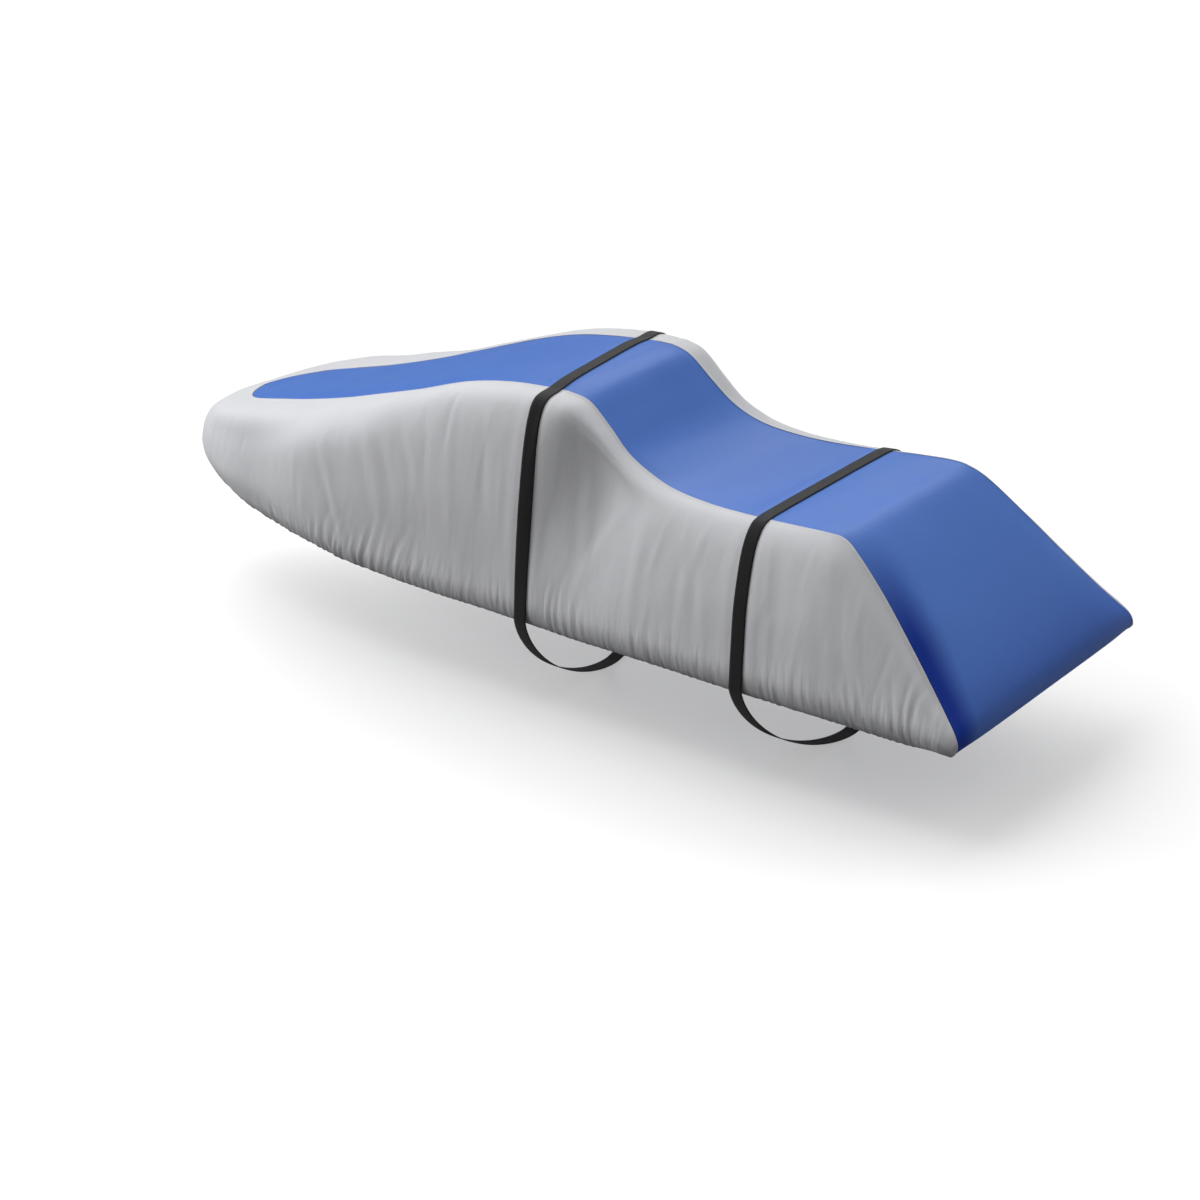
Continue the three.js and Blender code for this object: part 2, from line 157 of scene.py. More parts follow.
# x, centre z, seam y, seam z, edge y, edge z, wall y, wall z, flank out, belly y, hem y
BODY_RIBS = [
    [880, 441, 240, 427, 410, 410, 480, 354, 16, 490, 459],
    [1060, 500, 272, 488, 410, 473, 486, 408, 14, 514, 501],
    [1240, 560, 300, 549, 402, 538, 470, 472, 18, 519, 519],
    [1410, 613, 279, 603, 389, 594, 448, 528, 20, 520, 529],
    [1570, 641, 270, 633, 378, 625, 428, 570, 20, 522, 534],
    [1720, 654, 272, 647, 367, 638, 411, 586, 17, 522, 538],
    [1760, 655.5, 272, 648, 365, 638, 408, 587, 14, 522, 539],
    [1800, 654, 271, 647, 362, 636, 404, 586, 8, 520, 541],
    [1865, 637, 265, 629, 354, 616, 366, 558, -4, 516, 543],
    [1940, 572, 268, 566, 347, 556, 336, 500, 4, 512, 546],
    [2015, 506, 277, 502, 351, 492, 352, 436, 2, 516, 549],
    [2100, 465, 286, 461, 357, 450, 373, 400, 6, 526, 552],
    [2200, 441, 303, 438, 363, 429, 408, 384, 8, 533, 555],
    [2340, 433, 320, 430, 368, 422, 419, 377, 14, 538, 559],
    [2500, 439, 337, 436, 373, 428, 423, 383, 14, 540, 564],
    [2650, 451, 350, 447, 377, 439, 426, 395, 15, 543, 568],
    [2760, 457, 354, 453, 374, 445, 424, 404, 17, 547, 571],
    [2820, 457, 353, 447, 371, 438, 424, 397, 18, 550, 572],
    [2880, 432, 370, 412, 382, 404, 431, 360, 16, 553, 573],
    [2980, 361, 398, 327, 409, 319, 456, 284, 13, 559, 575],
    [3095, 264, 437, 218, 448, 210, 490, 184, 8, 566, 577],
    [3195, 168, 476, 123, 487, 116, 518, 98, 4, 572, 578],
]
# centre x z, then the points of a bow rib
STERN_RIBS = [
    [3263, 104, 3257, 504, 67, 3257, 516, 63, 3258, 535, 51, 3258, 566, 20, 3258, 575, -4],
    [3303, 58, 3293, 522, 33, 3293, 529, 29, 3292, 540, 21, 3290, 558, 2, 3288, 563, -12],
    [3315, 17, 3306, 528, 4, 3306, 531, 1, 3305, 536, -5, 3303, 544, -14, 3301, 548, -19],
    [3309, -12, 3297, 525, -20, 3297, 527, -21, 3297, 529, -22, 3296, 531, -23, 3295, 533, -24],
]

# ---- folds ---------------------------------------------------------------------------------------------
# Long folds, one to a row: run along the hem and height share at the upper end, the same at the lower
# end, sideways bow at mid length, relief in mm (a trough is negative) and half width in mm.
PORT_FOLDS = [
    (1046, 0.84, 1152, 0.10, 10, 2.6, 20),
    (1020, 0.80, 1118, 0.12, 10, -3.2, 15),
    (1180, 0.86, 1262, 0.36, 14, -3.0, 20),
    (1222, 0.84, 1310, 0.34, 14, 2.2, 18),
    (1262, 0.84, 1345, 0.48, 6, -2.5, 14),
    (1330, 0.86, 1420, 0.56, 8, -2.8, 16),
    (1372, 0.84, 1448, 0.50, 4, 1.8, 14),
    (1432, 0.92, 1466, 0.62, 0, -2.2, 12),
    (1521, 1.00, 1528, 0.72, 0, -2.5, 11),
    (1545, 0.70, 1590, 0.30, 0, 2.0, 20),
    (1660, 0.76, 1702, 0.44, 0, -3.0, 20),
    (1888, 1.02, 1894, 0.50, 0, 9.0, 52),
    (2088, 1.02, 2040, 0.48, 0, -12.0, 56),
    (1960, 0.74, 2018, 0.30, 6, -2.2, 22),
    (2000, 0.74, 2052, 0.34, 6, 1.8, 18),
    (2176, 0.90, 2054, 0.16, -26, 2.2, 26),
    (2140, 0.82, 2024, 0.20, -24, -1.8, 20),
    (2226, 0.78, 2262, 0.16, 4, 2.0, 20),
    (2196, 0.74, 2236, 0.16, 4, -1.7, 18),
    (2396, 0.66, 2410, 0.32, 0, -2.5, 18),
    (2452, 0.66, 2480, 0.34, 0, -3.0, 16),
    (2560, 0.80, 2600, 0.20, 6, 2.5, 24),
    (2700, 0.90, 2760, 0.36, 8, -2.5, 22),
    (2860, 0.84, 2920, 0.30, 0, -2.0, 26),
    (2990, 0.70, 3060, 0.30, 4, 2.0, 24),
]
STARBOARD_FOLDS = [
    (984, 0.84, 1064, 0.18, 12, -5.0, 17),
    (1016, 0.84, 1098, 0.16, 12, 4.5, 16),
    (1120, 0.86, 1188, 0.42, 8, 4.5, 15),
    (1238, 0.84, 1350, 0.30, 10, -5.5, 18),
    (1280, 0.82, 1386, 0.34, 10, 3.5, 16),
    (1390, 0.90, 1440, 0.56, 0, -3.5, 14),
    (1470, 0.82, 1500, 0.48, 0, 2.5, 16),
    (1580, 0.84, 1618, 0.32, 4, -3.5, 20),
    (1900, 0.88, 1952, 0.50, 6, 3.0, 18),
    (1968, 0.86, 2004, 0.26, 6, -5.0, 20),
    (2120, 0.92, 2068, 0.18, -20, 6.0, 19),
    (2088, 0.84, 2034, 0.22, -20, -4.0, 17),
    (2300, 0.72, 2330, 0.16, 4, -4.5, 16),
    (2332, 0.72, 2362, 0.20, 4, 3.5, 15),
    (2480, 0.76, 2460, 0.28, 0, 3.0, 18),
    (2720, 0.80, 2760, 0.30, 4, -3.0, 20),
    (2900, 0.84, 2950, 0.36, 4, 2.0, 24),
    (3010, 0.60, 3080, 0.16, 4, -3.0, 18),
]
# Hem gathers: run along the hem, reach up the flank in mm, depth in mm, and lean aft in mm of run for
# each mm of height
PORT_GATHERS = [
    (0, 60, 2.0, 0.10),
    (330, 90, 2.6, 0.25),
    (620, 90, 3.2, 0.20),
    (950, 130, 3.9, 0.25),
    (1060, 190, 4.6, 0.35),
    (1320, 190, 4.7, 0.40),
    (1480, 100, 4.0, 0.10),
    (1620, 75, 3.4, -0.10),
    (1780, 90, 3.6, 0.0),
    (1900, 150, 4.6, -0.10),
    (2090, 150, 4.6, -0.15),
    (2220, 95, 3.8, -0.30),
    (2480, 100, 4.0, -0.40),
    (2640, 130, 4.6, -0.35),
    (2820, 120, 4.4, -0.40),
    (2960, 90, 3.8, -0.40),
    (3080, 130, 4.8, -0.40),
    (3200, 170, 6.2, -0.30),
    (3300, 150, 6.2, 0.0),
    (3400, 90, 4.0, 0.30),
]
STARBOARD_GATHERS = [
    (0, 60, 2.0, 0.10),
    (300, 100, 2.8, 0.20),
    (560, 120, 3.6, 0.25),
    (860, 180, 5.2, 0.30),
    (1000, 140, 4.6, 0.25),
    (1200, 190, 5.4, 0.35),
    (1420, 120, 4.2, 0.10),
    (1600, 85, 3.4, 0.0),
    (1760, 110, 4.0, -0.05),
    (1930, 160, 4.8, -0.10),
    (2150, 120, 4.2, -0.20),
    (2380, 90, 3.4, -0.30),
    (2560, 110, 4.2, -0.35),
    (2720, 150, 4.8, -0.40),
    (2900, 100, 3.8, -0.35),
    (3060, 140, 4.8, -0.40),
    (3200, 160, 6.0, -0.30),
    (3300, 140, 6.0, 0.0),
    (3400, 90, 4.0, 0.30),
]
FOLD_START, FOLD_END = (-0.3, 0.3), (0.65, 1.3)  # shares of a long fold's length over which its ends fade
GATHER_PITCH = 21.0
GATHER_STRENGTH = 1.5
GATHER_HALF_WIDTH = (5.0, 8.0)
GATHER_SPREAD = (1.1, 0.3)  # its width at the hem, in half widths, and what it gains on its way up
GATHER_FADE = 1.3  # power of its decline
GATHER_HOOK, GATHER_HOOK_HEIGHT = 11.0, 22.0  # how far a gather swings aft at the hem, and from how high
RIDGE_PLACE, RIDGE_WIDTH, RIDGE_SHARE = 1.7, 1.1, 0.5  # the ridge beside it, in half widths and its depth
HEM_HOLD, HEM_HOLD_RISE = 0.3, 14.0  # share of the depth that the hem takes away, and from how high
FAINT_FOLDS = 170  # small wrinkles scattered over each flank
HEIGHTS = [1.05, 1.0, 0.85, 0.53, 0.22, 0.0]  # height share at section places 0 to 5

# ---- camera --------------------------------------------------------------------------------------------
CAMERA_PLACE = Vector((5.0329, -7.0, 2.9936))
CAMERA_AZIMUTH, CAMERA_ELEVATION = math.radians(36.0), math.radians(23.7)
CAMERA_LENS = 88.83


def make_camera():
    data = bpy.data.cameras.new("camera")
    data.lens = CAMERA_LENS
    camera = bpy.data.objects.new("camera", data)
    bpy.context.collection.objects.link(camera)
    a, e = CAMERA_AZIMUTH, CAMERA_ELEVATION
    ahead = Vector((-math.sin(a) * math.cos(e), math.cos(a) * math.cos(e), -math.sin(e)))
    camera.location = CAMERA_PLACE
    camera.rotation_mode = "QUATERNION"
    camera.rotation_quaternion = ahead.to_track_quat("-Z", "Y")
    bpy.context.scene.camera = camera


make_camera()

# ---- the smooth form -----------------------------------------------------------------------------------
def make_rib(centre, seam, edge, wall, belly, hem, flank_out):
    """The points of a rib from the centre line to the hem: two more than are given."""
    points = (centre, seam, edge, wall, belly, hem)
    centre, seam, edge, wall, belly, hem = (np.array(p, float) for p in points)
    out = hem - seam
    out[2] = 0.0
    out /= np.linalg.norm(out)
    flank = (wall + belly) / 2 + out * flank_out
    crown = centre + (seam - centre) * CROWN_DOWN
    crown[1] = seam[1] * CROWN_ACROSS
    return [centre, crown, seam, edge, wall, flank, belly, hem]


def all_ribs():
    ribs = []
    for row in BOW_RIBS:
        points = [row[k:k + 3] for k in range(0, 15, 3)]
        centre = (row[0], 0, row[2] + BOW_RISE * row[1])
        ribs.append(make_rib(centre, *points, BOW_FLANK_OUT))
    for x, top, seam_y, seam_z, edge_y, edge_z, wall_y, wall_z, out, belly_y, hem_y in BODY_RIBS:
        section = [
            (seam_y, seam_z),
            (edge_y, edge_z),
            (wall_y, wall_z),
            (belly_y, BELLY_RISE * edge_z),
            (hem_y, 0),
        ]
        ribs.append(make_rib((x, 0, top), *[(x, y, z) for y, z in section], out))
    for row in STERN_RIBS:
        points = [row[k:k + 3] for k in range(2, 17, 3)]
        ribs.append(make_rib((row[0], 0, row[1]), *points, STERN_FLANK_OUT))
    return np.array(ribs)


RIBS = all_ribs()
LAST = len(RIBS) - 1
MIRROR = np.array([1.0, -1.0, 1.0])
PADDED_RIBS = np.concatenate([[RIBS[1] * MIRROR], RIBS, [2 * RIBS[-1] - RIBS[-2]]])


def ribs_at(u):
    """The rib at each place u, by Catmull-Rom lines along the hull."""
    i = np.clip(np.floor(u).astype(int), 0, LAST - 1)
    f = (u - i)[:, None, None]
    a, b, c, d = (PADDED_RIBS[i + k] for k in range(4))
    curve = (2 * a - 5 * b + 4 * c - d) * f**2 + (3 * b - 3 * c + d - a) * f**3
    return 0.5 * (2 * b + (c - a) * f + curve)


def form(u, v):
    """Points of the smooth form. u is the rib place, negative to port. v is the section place: -2 centre,
    -1 crown, 0 seam, 1 edge, 2 wall, 3 flank, 4 belly, 5 hem."""
    u, v = (np.asarray(t, float) for t in np.broadcast_arrays(u, v))
    shape = u.shape
    side = np.where(u.ravel() < 0, -1.0, 1.0)
    rib = ribs_at(np.abs(u.ravel()))
    knots = np.concatenate([
        rib[:, 1:2] * MIRROR,
        rib,
        2 * rib[:, -1:] - rib[:, -2:-1],
    ], axis=1)
    place = v.ravel() + 3
    i = np.clip(np.floor(place).astype(int), 1, 7)
    f = (place - i)[:, None]
    n = np.arange(len(i))
    a, b, c, d = (knots[n, i + k] for k in (-1, 0, 1, 2))
    ab, bc, cd = (np.sqrt(np.linalg.norm(q - p, axis=1))[:, None] for p, q in ((a, b), (b, c), (c, d)))
    bc = np.where(bc < 1e-4, 1.0, bc)
    ab = np.where(ab < 1e-4, bc, ab)
    cd = np.where(cd < 1e-4, bc, cd)
    start = (c - b) + bc * ((b - a) / ab - (c - a) / (ab + bc))
    end = (c - b) + bc * ((d - c) / cd - (d - b) / (bc + cd))
    p = (2 * f**3 - 3 * f**2 + 1) * b + (f**3 - 2 * f**2 + f) * start
    p += (3 * f**2 - 2 * f**3) * c + (f**3 - f**2) * end
    p[:, 1] *= side
    return p.reshape(*shape, 3)


def unit(p):
    return p / np.maximum(np.linalg.norm(p, axis=-1, keepdims=True), 1e-9)


def grid_normals(p):
    """Outward normals of a grid of points: axis 0 runs from port to starboard round the bow, or aft."""
    return unit(np.cross(np.gradient(p, axis=0), np.gradient(p, axis=1)))


def smooth(t, low=0.0, high=1.0):
    t = np.clip((t - low) / (high - low), 0.0, 1.0)
    return t * t * (3 - 2 * t)


def run_table():
    """Rib place and length of the hem from the bow, finely."""
    u = np.linspace(0, LAST, 1200)
    hem = ribs_at(u)[:, 7]
    steps = np.linalg.norm(np.diff(hem, axis=0), axis=1)
    return u, np.concatenate([[0], np.cumsum(steps)])


RUN_U, RUN = run_table()
BODY_U = np.linspace(len(BOW_RIBS), len(BOW_RIBS) + len(BODY_RIBS) - 1, 800)
BODY_X = ribs_at(BODY_U)[:, 0, 0]


def strap_x(strap, p):
    x, skew, lean = STRAPS[strap]
    return x + skew * p[..., 1] + lean * p[..., 2]


def strap_distance(p):
    """Distance from the nearest strap's edge, negative under it."""
    off = [np.abs(p[..., 0] - strap_x(strap, p)) for strap in STRAPS]
    return np.minimum(*off) - STRAP_WIDTH / 2


def place_at_x(x):
    return np.interp(x, BODY_X, BODY_U)


# ---- relief of the cloth -------------------------------------------------------------------------------
def freedom(p, run):
    """How freely the cloth may fold: not beside a strap, where it is held, nor at the stern corner."""
    free = smooth(strap_distance(p), 2.0, STRAP_HOLD)
    return free * (1 - smooth(run, *STERN_END))


def long_folds(folds, run, height):
    relief = np.zeros_like(run)
    for top_run, top_height, low_run, low_height, bow, rise, half_width in folds:
        along = (top_height - height) / (top_height - low_height)
        middle = top_run + (low_run - top_run) * along + 4 * bow * along * (1 - along)
        off = (run - middle) / half_width
        relief += rise * np.exp(-off**2) * smooth(along, *FOLD_START) * (1 - smooth(along, *FOLD_END))
    return relief


def hem_gathers(table, seed, run, rise):
    """Folds that the hem's elastic draws in. Each is a trough with a ridge beside it, deepest near the
    hem, which leans and dies out on its way up. rise is the height over the hem in mm."""
    rng = random.Random(seed)
    places = [row[0] for row in table]
    columns = [[row[k] for row in table] for k in range(1, 4)]
    relief = np.zeros_like(run)
    place = rng.uniform(0, GATHER_PITCH)
    while place < places[-1]:
        reach, depth, lean = (float(np.interp(place, places, column)) for column in columns)
        reach *= rng.uniform(0.5, 1.4)
        depth *= rng.uniform(0.45, 1.25)
        lean += rng.uniform(-0.10, 0.10)
        curve = rng.uniform(-0.25, 0.25) / reach
        width = rng.uniform(*GATHER_HALF_WIDTH)
        share = np.clip(rise / reach, 0, 1)
        middle = place + (lean + curve * rise) * rise + GATHER_HOOK * np.exp(-rise / GATHER_HOOK_HEIGHT)
        off = (run - middle) / (width * (GATHER_SPREAD[0] + GATHER_SPREAD[1] * share))
        fold = RIDGE_SHARE * np.exp(-((off - RIDGE_PLACE) / RIDGE_WIDTH)**2) - np.exp(-off**2)
        relief += depth * fold * (1 - share)**GATHER_FADE
        place += GATHER_PITCH * rng.uniform(0.55, 1.45)
    return GATHER_STRENGTH * relief * (1 - HEM_HOLD + HEM_HOLD * smooth(rise, 0, HEM_HOLD_RISE))


def faint_folds(seed, run, height):
    """Small soft wrinkles scattered over a flank."""
    rng = random.Random(seed)
    relief = np.zeros_like(run)
    for _ in range(FAINT_FOLDS):
        middle_run, middle_height = rng.uniform(150, 3250), rng.uniform(0.12, 0.92)
        half_length, half_width = rng.uniform(0.07, 0.24), rng.uniform(8, 18)
        rise = rng.choice((-1, 1)) * rng.uniform(0.4, 1.4)
        lean = rng.uniform(-60, 130)
        away = height - middle_height
        off = (run - middle_run + lean * away) / half_width
        relief += rise * np.exp(-off**2 - (away / half_length)**2)
    return relief


def undulation(seed, run, height):
    """The slow unevenness of loose cloth."""
    rng = random.Random(seed)
    relief = np.zeros_like(run)
    for _ in range(9):
        length, slant, phase = rng.uniform(170, 520), rng.uniform(-1.5, 1.5), rng.uniform(0, 6.3)
        relief += rng.uniform(0.2, 0.5) * np.sin(2 * math.pi * run / length + slant * 3 * height + phase)
    return relief


# ---- meshes --------------------------------------------------------------------------------------------
def grid_object(name, points, uvs, closed=False):
    """A grid of faces over points, in metres: columns on axis 0 and rows on axis 1. uvs maps a UV map's
    name to its two coordinates for each point. A closed grid's last column lies on its first."""
    columns, rows = points.shape[:2]
    bm = bmesh.new()
    bmesh.ops.create_grid(bm, x_segments=columns - 1, y_segments=rows - 1, size=1.0)
    bm.verts.ensure_lookup_table()
    ordered = points.transpose(1, 0, 2).reshape(-1, 3)
    layers = {key: bm.loops.layers.uv.new(key) for key in uvs}
    flat = {key: value.transpose(1, 0, 2).reshape(-1, 2).tolist() for key, value in uvs.items()}
    for vert, place in zip(bm.verts, ordered.tolist()):
        vert.co = place
    for face in bm.faces:
        face.smooth = True
        for loop in face.loops:
            for key, layer in layers.items():
                loop[layer].uv = flat[key][loop.vert.index]
    if closed:
        bmesh.ops.remove_doubles(bm, verts=bm.verts, dist=1e-5)
    mesh = bpy.data.meshes.new(name)
    bm.to_mesh(mesh)
    bm.free()
    piece = bpy.data.objects.new(name, mesh)
    bpy.context.collection.objects.link(piece)
    return piece


def thicken(piece, thickness):
    solidify = piece.modifiers.new("thickness", "SOLIDIFY")
    solidify.thickness = thickness
    solidify.offset = -1.0
    solidify.use_even_offset = False


def in_part_frame(p):
    return p * MM - ORIGIN


# ---- side cloth ----------------------------------------------------------------------------------------
def side_rows(u):
    """Section places of the side cloth's rows at each rib place, evenly spaced but closer at the seam,
    and each row's distance from the seam."""
    v = np.linspace(0, 5, 161)
    line = form(u[:, None], v[None, :])
    steps = np.linalg.norm(np.diff(line, axis=1), axis=2)
    length = np.concatenate([np.zeros((len(u), 1)), np.cumsum(steps, axis=1)], axis=1)
    places, distances = [], []
    for lengths in length:
        fit = min(1.0, lengths[-1] / ROWS_ROOM)
        near_seam, near_hem = SEAM_ROWS * fit, lengths[-1] - HEM_ROWS * fit
        between = np.linspace(near_seam[-1], near_hem[0], SIDE_ROWS + 1)[1:-1]
        distance = np.concatenate([near_seam, between, near_hem])
        places.append(np.interp(distance, lengths, v))
        distances.append(distance)
    return np.array(places), np.array(distances)


def side_cloth():
    half_run = np.arange(0, RUN[-1], COLUMN_PITCH)
    half_run = np.append(half_run, RUN[-1])
    half_u = np.interp(half_run, RUN, RUN_U)
    u = np.concatenate([-half_u[:0:-1], half_u])
    run = np.concatenate([half_run[:0:-1], half_run])
    v, distance = side_rows(np.abs(u))
    p = form(u[:, None], v)
    normal = grid_normals(p)
    run = np.broadcast_to(run[:, None], v.shape)
    port = np.broadcast_to(u[:, None] < 0, v.shape)
    height = np.interp(v, range(6), HEIGHTS)
    rise = distance[:, -1:] - distance

    folds = np.where(port, long_folds(PORT_FOLDS, run, height), long_folds(STARBOARD_FOLDS, run, height))
    port_gathers = hem_gathers(PORT_GATHERS, 3, run, rise)
    gathers = np.where(port, port_gathers, hem_gathers(STARBOARD_GATHERS, 8, run, rise))
    faint = np.where(port, faint_folds(5, run, height), faint_folds(6, run, height))
    slow = np.where(port, undulation(21, run, height), undulation(22, run, height))
    below_seam = smooth(distance, *SEAM_HOLD)
    relief = (folds + faint + slow) * below_seam + gathers
    relief *= freedom(p, run)
    relief += STRAP_PUFF * np.exp(-((strap_distance(p) - PUFF_PLACE) / PUFF_WIDTH)**2) * below_seam
    lap = 1 - smooth(run, *STERN_END)
    relief += SEAM_LAP * (STERN_LAP + (1 - STERN_LAP) * lap) * (1 - smooth(distance, *LAP_FADE))
    low = 1 - np.clip(rise / HEM_TUCK_HEIGHT, 0, 1)
    tuck = np.minimum(1.0, distance[:, -1:] / ROWS_ROOM) * HEM_TUCK
    relief -= tuck * (1 - np.sqrt(1 - low**2))
    p = p + normal * relief[..., None]
    p[..., 2] -= HEM_SAG * lap * low**2

    # the hem rolls under, round its elastic
    inward = (p[:, :1] - p[:, -1:]) * np.array([1, 1, 0])
    down = unit(p[:, -1:] - p[:, -2:-1])
    inward = unit(inward - down * np.sum(inward * down, axis=2, keepdims=True))
    size = np.interp(run[:, :1], STERN_END, (1.0, STERN_ROLL))[..., None]
    turn = np.linspace(0, HEM_TURN, HEM_ROLL_ROWS + 1)[1:][None, :, None]
    roll = p[:, -1:] + size * HEM_RADIUS * (inward * (1 - np.cos(turn)) + down * np.sin(turn))
    p = np.concatenate([p, roll], axis=1)
    below = np.arange(1, HEM_ROLL_ROWS + 1) * HEM_RADIUS * HEM_TURN / HEM_ROLL_ROWS
    distance = np.concatenate([distance, distance[:, -1:] + below], axis=1)
    total = distance[:, len(v[0]) - 1][:, None]

    run = np.broadcast_to(run[:, :1], distance.shape)
    seam_run = np.concatenate([[0], np.cumsum(np.linalg.norm(np.diff(p[:, 0], axis=0), axis=1))])
    seam_run = np.broadcast_to(seam_run[:, None], distance.shape)
    signed_run = run * np.where(u < 0, -1, 1)[:, None]
    uvs = {
        "cloth": np.stack([signed_run, distance], axis=2) * MM,
        "hem": np.stack([signed_run, total - distance], axis=2) * MM,
        "seam": np.stack([seam_run, distance], axis=2) * MM,
    }
    piece = grid_object("side_cloth_fabric", in_part_frame(p), uvs)
    thicken(piece, CLOTH)
    return piece


# ---- top cloth -----------------------------------------------------------------------------------------
def top_relief(p, across):
    """Slow unevenness of the taut top cloth. across runs from -1 at the port seam to 1."""
    rng = random.Random(31)
    relief = np.zeros(p.shape[:2])
    for _ in range(12):
        length, slant, phase = rng.uniform(160, 700), rng.uniform(-2.5, 2.5), rng.uniform(0, 6.3)
        wave = np.sin(2 * math.pi * p[..., 0] / length + slant * across + phase)
        relief += rng.uniform(0.15, 0.45) * wave
    return relief


def top_cloth():
    run = np.arange(RUN[0], RUN[-1], TOP_COLUMN_PITCH)
    u = np.interp(np.append(run, RUN[-1]), RUN, RUN_U)
    u = np.concatenate([TIP_PLACES, u[u > TIP_PLACES[-1] + 0.02]])
    across = np.linspace(-1, 1, 2 * TOP_HALF_ROWS + 1)
    side = np.where(across < 0, -1.0, 1.0)
    v = 2 * np.abs(across) - 2
    p = form(side[None, :] * u[:, None], v[None, :])
    normal = grid_normals(p)
    relief = top_relief(p, across[None, :]) * smooth(1 - np.abs(across), 0, TOP_EDGE_HOLD)[None, :]
    relief *= smooth(strap_distance(p), 0, STRAP_HOLD)
    relief += TOP_PUFF * np.exp(-((strap_distance(p) - TOP_PUFF_PLACE) / PUFF_WIDTH)**2)
    p = p + normal * relief[..., None]

    # both long edges run on under the side cloth's lap
    edges = []
    for outer, inner in ((0, 1), (-1, -2)):
        out = unit(p[:, outer] - p[:, inner])
        edges.append(p[:, outer] + out * SEAM_ALLOWANCE - normal[:, outer] * LAP_CLEARANCE)
    p = np.concatenate([edges[0][:, None], p, edges[1][:, None]], axis=1)

    steps = np.linalg.norm(np.diff(p, axis=1), axis=2)
    place = np.concatenate([np.zeros((len(u), 1)), np.cumsum(steps, axis=1)], axis=1)
    along = np.concatenate([[0], np.cumsum(np.linalg.norm(np.diff(p[:, len(v) // 2], axis=0), axis=1))])
    along = np.broadcast_to(along[:, None], place.shape)
    uvs = {
        "cloth": np.stack([along, place - place[:, -1:] / 2], axis=2) * MM,
        "edge": np.stack([place, place[:, -1:] - place], axis=2) * MM,
    }
    piece = grid_object("top_cloth_fabric", in_part_frame(p), uvs)
    thicken(piece, CLOTH)
    return piece


# ---- straps --------------------------------------------------------------------------------------------
def strap_on_cloth(strap, side, shift, v):
    """Points of a strap where it lies on the cloth, and the way out from them."""
    u = side * place_at_x(STRAPS[strap][0] + shift + 0 * v)
    for _ in range(8):
        u = side * place_at_x(strap_x(strap, form(u, v)) + shift)
    step = 0.02
    along = (form(u + step, v) - form(u - step, v))
    down = form(u, np.minimum(v + step, 5)) - form(u, v - step)
    return form(u, v), unit(np.cross(along, down))


def strap_on_hull(strap, side, shift, angle):
    """The same round the hull: the angle is 0 at the hem and a right angle at the keel."""
    hem, _ = strap_on_cloth(strap, side, shift, np.full_like(angle, 5.0))
    reach = np.abs(hem[..., 1])
    c, s = np.clip(np.cos(angle), 0, 1), np.sin(angle)
    sweep = 2 / HULL_POWER
    p = np.stack([0 * angle, side * reach * c**sweep, -HULL_DEPTH * s**sweep], axis=-1)
    p[..., 0] = strap_x(strap, p) + shift
    turn = 2 - sweep
    return p, unit(np.stack([0 * angle, side * c**turn / reach, -s**turn / HULL_DEPTH], axis=-1))


def strap_loop(strap):
    """A strap's closed band: from the deck's centre line down one side, round below and up the other."""
    shift = np.linspace(-0.5, 0.5, STRAP_ROWS + 1) * STRAP_WIDTH
    v = np.linspace(-2, 5, STRAP_CLOTH_COLUMNS + 1)
    angle = np.linspace(0, math.pi / 2, STRAP_HULL_COLUMNS + 1)[1:]
    halves = []
    for side in (1.0, -1.0):
        on_cloth = strap_on_cloth(strap, side, *np.meshgrid(shift, v))
        on_hull = strap_on_hull(strap, side, *np.meshgrid(shift, angle))
        halves.append([np.concatenate(pair) for pair in zip(on_cloth, on_hull)])
    p, normal = (np.concatenate([halves[0][k], halves[1][k][-2::-1]]) for k in (0, 1))
    rounding = np.abs(shift / STRAP_WIDTH * 2)**STRAP_EDGE_POWER
    lift = STRAP_CLEARANCE + STRAP_THICKNESS - STRAP_EDGE_ROUNDING * rounding
    p = p + normal * lift[None, :, None]
    middle = p[:, STRAP_ROWS // 2]
    along = np.concatenate([[0], np.cumsum(np.linalg.norm(np.diff(middle, axis=0), axis=1))])
    uv = np.stack(np.broadcast_arrays(along[:, None], shift[None, :]), axis=2) * MM
    piece = grid_object(strap + "_webbing", in_part_frame(p), {"webbing": uv}, closed=True)
    thicken(piece, STRAP_THICKNESS * MM)
    return piece


# ---- shader expressions --------------------------------------------------------------------------------
class Value:
    """A number that varies over a surface, with the arithmetic that adds its Math nodes."""

    def __init__(self, material, socket):
        self.material = material
        self.socket = socket

    def math(self, operation, *others):
        inputs = [self, *others]
        return self.material.node("ShaderNodeMath", {"operation": operation}, inputs)

    def __add__(self, other):
        return self.math("ADD", other)

    def __mul__(self, other):
        return self.math("MULTIPLY", other)

    def __sub__(self, other):
        return self.math("SUBTRACT", other)

    def __truediv__(self, other):
        return self.math("DIVIDE", other)

    def __rsub__(self, other):
        return self.material.node("ShaderNodeMath", {"operation": "SUBTRACT"}, [other, self])

    __radd__ = __add__
    __rmul__ = __mul__

    def fades(self, start, end):
        """0 up to start and 1 from end on, smoothly; start may be the larger one."""
        settings = {"interpolation_type": "SMOOTHSTEP"}
        inputs = {"Value": self, "From Min": start, "From Max": end}
        return self.material.node("ShaderNodeMapRange", settings, inputs)


